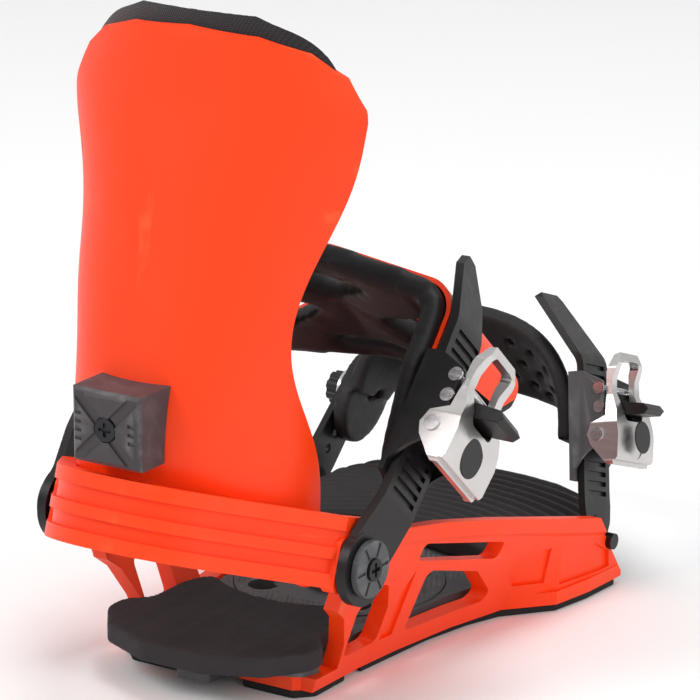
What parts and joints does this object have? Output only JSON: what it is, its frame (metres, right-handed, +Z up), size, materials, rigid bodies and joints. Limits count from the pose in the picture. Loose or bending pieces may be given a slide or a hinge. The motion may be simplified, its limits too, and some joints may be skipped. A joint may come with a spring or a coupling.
{
  "type": "snowboard binding",
  "caption": "Strap snowboard binding with a heel hoop, tall highback, ribbed footbed, ankle and toe straps with ratchet buckles, and a turnable mounting disc.",
  "frame": {"origin": "centre of the mounting disc's bolt pattern, on the plane of the board", "axes": "+Z up from the board, +Y towards the toe, +X towards the side with the buckles"},
  "size_m": [0.1687, 0.2702, 0.24],
  "materials": {
    "black_nylon": "satin moulded nylon",
    "black_steel": "black oxide",
    "bright_steel": "zinc plated",
    "eva_foam": "closed-cell foam",
    "footbed_foam": "ribbed moulded foam",
    "grey_nylon": "matte moulded nylon",
    "gunmetal_plastic": "satin moulded plastic",
    "orange_nylon": "satin moulded nylon",
    "silver_aluminium": "satin cast aluminium",
    "strap_padding": "moulded foam with fabric lining"
  },
  "bodies": {
    "chassis": {"chassis": "orange_nylon", "drive_plate": "grey_nylon", "heel_cushions": "eva_foam", "side_cushions": "eva_foam", "heel_pad": "footbed_foam", "toe_pad": "footbed_foam", "pivot_caps": "grey_nylon", "pivot_bolts": "black_steel", "pivot_nuts": "black_steel", "toe_pivot_bolts": "black_steel", "toe_pivot_washers": "black_steel"},
    "disc": {"mounting_disc": "grey_nylon"},
    "highback": {"highback_shell": "orange_nylon", "highback_pad": "strap_padding"},
    "lean_block": {"lean_block": "gunmetal_plastic", "lean_screw": "black_steel"},
    "ankle_arms": {"ankle_ladder": "black_nylon", "ankle_far_arm": "black_nylon"},
    "ankle_strap": {"ankle_strap_pad": "strap_padding", "ankle_strap_overlay": "orange_nylon", "ankle_adjuster_screw": "black_steel", "ankle_adjuster_nut": "black_steel", "ankle_buckle_base": "black_nylon", "ankle_buckle_pins": "bright_steel", "ankle_buckle_springs": "bright_steel"},
    "ankle_lever": {"ankle_lever": "silver_aluminium", "ankle_lever_pin": "bright_steel", "ankle_lever_badge": "black_nylon", "ankle_drive_pawl": "bright_steel"},
    "ankle_release": {"ankle_release_tab": "black_nylon"},
    "toe_arms": {"toe_ladder": "black_nylon", "toe_far_arm": "black_nylon"},
    "toe_strap": {"toe_strap_pad": "strap_padding", "toe_adjuster_knob": "black_nylon", "toe_adjuster_ring": "bright_steel", "toe_buckle_base": "grey_nylon", "toe_buckle_pins": "bright_steel", "toe_buckle_springs": "bright_steel"},
    "toe_lever": {"toe_lever": "silver_aluminium", "toe_lever_pin": "bright_steel", "toe_lever_badge": "black_nylon", "toe_drive_pawl": "bright_steel"},
    "toe_release": {"toe_release_tab": "black_nylon"}
  },
  "joints": [
    {"name": "disc_turn", "type": "hinge", "parent": "chassis", "child": "disc", "pos_m": [0, 0, 0.006], "axis": [0, 0, 1], "continuous": true},
    {"name": "highback_fold", "type": "hinge", "parent": "chassis", "child": "highback", "pos_m": [0, -0.082, 0.054], "axis": [-1, 0, 0], "range_deg": [0, 32]},
    {"name": "lean_block_pull", "type": "slide", "parent": "highback", "child": "lean_block", "axis": [0, -1, 0], "range_m": [0, 0.012]},
    {"name": "ankle_arms_swing", "type": "hinge", "parent": "chassis", "child": "ankle_arms", "pos_m": [0, -0.082, 0.054], "axis": [-1, 0, 0], "range_deg": [-14, 8]},
    {"name": "ankle_strap_ratchet", "type": "slide", "parent": "ankle_arms", "child": "ankle_strap", "axis": [0, 0.682, 0.7314], "range_m": [-0.004, 0.007]},
    {"name": "ankle_lever_lift", "type": "hinge", "parent": "ankle_strap", "child": "ankle_lever", "pos_m": [0.0767, -0.0479, 0.09057], "axis": [0, 0.7314, -0.682], "range_deg": [0, 55], "stiffness_Nm_per_rad": 0.06},
    {"name": "ankle_release_pull", "type": "hinge", "parent": "ankle_strap", "child": "ankle_release", "pos_m": [0.0767, -0.03972, 0.09934], "axis": [0, -0.7314, 0.682], "range_deg": [0, 9], "stiffness_Nm_per_rad": 0.03},
    {"name": "toe_arms_swing", "type": "hinge", "parent": "chassis", "child": "toe_arms", "pos_m": [0, 0.075, 0.0185], "axis": [-1, 0, 0], "range_deg": [-14, 6]},
    {"name": "toe_strap_ratchet", "type": "slide", "parent": "toe_arms", "child": "toe_strap", "axis": [-0.225, 0.3333, 0.9156], "range_m": [0, 0.003]},
    {"name": "toe_lever_lift", "type": "hinge", "parent": "toe_strap", "child": "toe_lever", "pos_m": [0.06416, 0.08796, 0.05412], "axis": [0, 0.9397, -0.342], "range_deg": [0, 55], "stiffness_Nm_per_rad": 0.04},
    {"name": "toe_release_pull", "type": "hinge", "parent": "toe_strap", "child": "toe_release", "pos_m": [0.06184, 0.0914, 0.06357], "axis": [0, -0.9397, 0.342], "range_deg": [0, 9], "stiffness_Nm_per_rad": 0.02}
  ]
}
